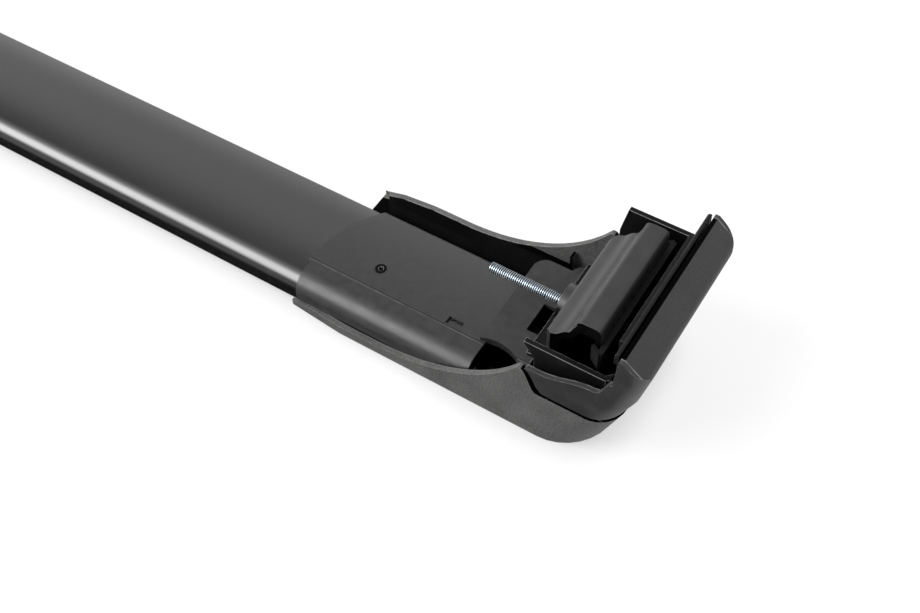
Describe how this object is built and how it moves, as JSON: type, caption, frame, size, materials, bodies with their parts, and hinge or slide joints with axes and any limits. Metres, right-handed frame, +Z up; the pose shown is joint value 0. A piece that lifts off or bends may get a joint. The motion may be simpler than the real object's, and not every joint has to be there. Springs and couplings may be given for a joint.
{
  "type": "roof rack crossbar",
  "caption": "Wing-shaped roof rack crossbar with a bolt-driven rail clamp in the foot at each end, for vehicles with roof rails.",
  "frame": {"origin": "centre of the part's footprint, on the plane of the two lips it stands on", "axes": "+Z up in use towards the load face, +X along the bar across the vehicle, +Y towards the bar's nose"},
  "size_m": [1.05, 0.103, 0.105],
  "materials": {
    "bar_alloy": "satin black coating",
    "strip_rubber": "matt",
    "cover_plastic": "fine grained black",
    "cradle_plastic": "satin black",
    "claw_plastic": "fine grained black",
    "jaw_plastic": "satin black",
    "bracket_steel": "black powder coat",
    "pad_rubber": "matt, speckled with moulding dust",
    "zinc_steel": "bright zinc plate",
    "screw_steel": "black oxide"
  },
  "bodies": {
    "root": {"bar": "bar_alloy", "slot_strip": "strip_rubber", "foot_cover_right": "cover_plastic", "bar_cradle_right": "cradle_plastic", "claw_right": "claw_plastic", "clamp_bracket_right": "bracket_steel", "hook_pad_right": "pad_rubber", "bolt_washer_right": "zinc_steel", "cradle_screw_right": "screw_steel", "foot_cover_left": "cover_plastic", "bar_cradle_left": "cradle_plastic", "claw_left": "claw_plastic", "clamp_bracket_left": "bracket_steel", "hook_pad_left": "pad_rubber", "bolt_washer_left": "zinc_steel", "cradle_screw_left": "screw_steel"},
    "right_bolt": {"clamp_bolt_right": "zinc_steel"},
    "right_jaw": {"clamp_jaw_right": "jaw_plastic", "jaw_pad_right": "pad_rubber", "jaw_nut_right": "zinc_steel"},
    "left_bolt": {"clamp_bolt_left": "zinc_steel"},
    "left_jaw": {"clamp_jaw_left": "jaw_plastic", "jaw_pad_left": "pad_rubber", "jaw_nut_left": "zinc_steel"}
  },
  "joints": [
    {"name": "right_bolt_turn", "type": "hinge", "parent": "root", "child": "right_bolt", "pos_m": [0.5101, 0, 0.0521], "axis": [-1, 0, 0], "range_deg": [-10806, 1805]},
    {"name": "right_jaw_slide", "type": "slide", "parent": "root", "child": "right_jaw", "axis": [1, 0, 0], "range_m": [-0.03, 0.005]},
    {"name": "left_bolt_turn", "type": "hinge", "parent": "root", "child": "left_bolt", "pos_m": [-0.5101, 0, 0.0521], "axis": [1, 0, 0], "range_deg": [-10806, 1805]},
    {"name": "left_jaw_slide", "type": "slide", "parent": "root", "child": "left_jaw", "axis": [-1, 0, 0], "range_m": [-0.03, 0.005]}
  ],
  "couplings": [
    {"joint": "right_bolt_turn", "follows": "right_jaw_slide", "rad_per_m": 6283.2},
    {"joint": "left_bolt_turn", "follows": "left_jaw_slide", "rad_per_m": 6283.2}
  ]
}
